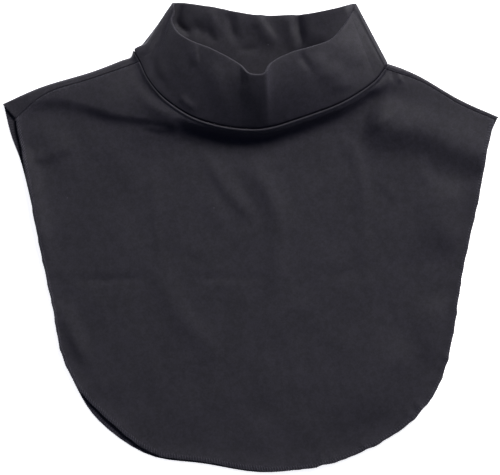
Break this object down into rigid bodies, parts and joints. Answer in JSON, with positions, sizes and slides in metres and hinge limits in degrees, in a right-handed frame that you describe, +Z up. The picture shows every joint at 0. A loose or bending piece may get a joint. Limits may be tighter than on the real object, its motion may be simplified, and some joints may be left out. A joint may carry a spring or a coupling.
{
  "type": "turtleneck dickey",
  "caption": "Sleeveless turtleneck dickey of black jersey: a short folded collar band sewn to a front bib and a back bib, lying flat with the front up.",
  "frame": {"origin": "on the surface the dickey lies on, under the middle of its outline seen from above", "axes": "+Z up from the surface through the back bib to the front bib; +Y along the middle of the bibs from the hem to the collar's top edge; +X towards the right of the picture, which is the wearer's left shoulder"},
  "size_m": [0.42, 0.3994, 0.0346],
  "materials": {
    "jersey": "matt fine jersey knit, black",
    "collar_jersey": "matt fine jersey knit, black, two plies"
  },
  "bodies": {
    "root": {"front_bib": "jersey", "back_bib": "jersey", "collar_band": "collar_jersey"}
  },
  "joints": []
}
